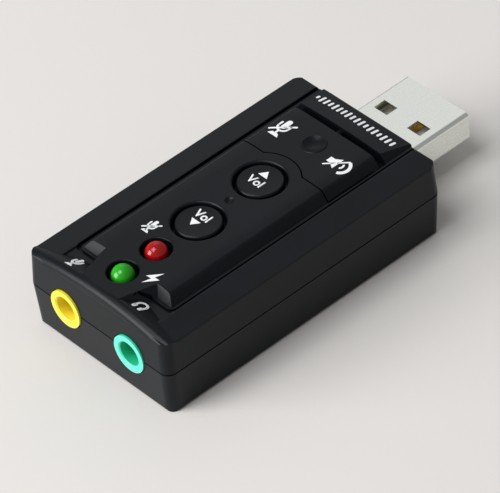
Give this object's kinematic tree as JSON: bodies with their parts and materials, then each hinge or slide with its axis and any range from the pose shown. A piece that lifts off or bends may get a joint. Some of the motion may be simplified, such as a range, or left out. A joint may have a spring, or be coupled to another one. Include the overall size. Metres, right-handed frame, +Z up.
{
  "type": "usb sound card",
  "caption": "Small USB sound adapter: a flat box with a USB plug at one end, audio jacks at the other, and volume keys, a rocking mute plate and status lights on a raised panel.",
  "frame": {"origin": "centre of the case's flat underside", "axes": "+Y towards the tip of the USB plug, +Z up out of the panel with the keys, X across the case"},
  "size_m": [0.0274, 0.0615, 0.0143],
  "materials": {
    "case_plastic": "semi-gloss black",
    "key_plastic": "semi-gloss black",
    "red_lens": "clear tinted, glossy",
    "green_lens": "clear tinted, glossy",
    "tinned_steel": "bright tin",
    "yellow_plastic": "satin",
    "turquoise_plastic": "satin",
    "gilt_contact": "gold flash",
    "green_board": "satin solder mask",
    "plug_steel": "bright nickel plate",
    "black_insulator": "satin",
    "switch_plastic": "matt",
    "plunger_plastic": "matt",
    "chip_epoxy": "matt",
    "crystal_can": "satin",
    "aluminium_can": "satin",
    "capacitor_ceramic": "matt"
  },
  "bodies": {
    "case": {"top_shell": "case_plastic", "bottom_shell": "case_plastic", "red_led": "red_lens", "green_led": "green_lens", "led_legs": "tinned_steel", "mic_jack": "yellow_plastic", "headphone_jack": "turquoise_plastic", "jack_contacts": "gilt_contact", "circuit_board": "green_board", "usb_shell": "plug_steel", "usb_insulator": "black_insulator", "usb_contacts": "gilt_contact", "switch_bodies": "switch_plastic", "switch_covers": "tinned_steel", "audio_chip": "chip_epoxy", "chip_legs": "tinned_steel", "crystal": "crystal_can", "capacitor_cans": "aluminium_can", "capacitor_bases": "switch_plastic", "chip_capacitors": "capacitor_ceramic", "chip_resistors": "chip_epoxy", "regulator": "chip_epoxy", "regulator_legs": "tinned_steel"},
    "vol_up": {"vol_up_key": "key_plastic", "vol_up_plunger": "plunger_plastic"},
    "vol_down": {"vol_down_key": "key_plastic", "vol_down_plunger": "plunger_plastic"},
    "mute": {"mute_plate": "case_plastic"},
    "mic_mute": {"mic_mute_plunger": "plunger_plastic"},
    "speaker_mute": {"speaker_mute_plunger": "plunger_plastic"}
  },
  "joints": [
    {"name": "vol_up_press", "type": "slide", "parent": "case", "child": "vol_up", "axis": [0, 0, -1], "range_m": [0, 0.00025], "stiffness_N_per_m": 1500},
    {"name": "vol_down_press", "type": "slide", "parent": "case", "child": "vol_down", "axis": [0, 0, -1], "range_m": [0, 0.00025], "stiffness_N_per_m": 1500},
    {"name": "mute_rock", "type": "hinge", "parent": "case", "child": "mute", "pos_m": [0, 0.0141, 0.01235], "axis": [0, 1, 0], "range_deg": [-2.2, 2.2], "stiffness_Nm_per_rad": 0.04},
    {"name": "mic_mute_press", "type": "slide", "parent": "case", "child": "mic_mute", "axis": [0, 0, -1], "range_m": [-0.00024, 0.00024]},
    {"name": "speaker_mute_press", "type": "slide", "parent": "case", "child": "speaker_mute", "axis": [0, 0, -1], "range_m": [-0.00024, 0.00024]}
  ],
  "couplings": [
    {"joint": "mic_mute_press", "follows": "mute_rock", "m_per_rad": -0.006},
    {"joint": "speaker_mute_press", "follows": "mute_rock", "m_per_rad": 0.006}
  ]
}
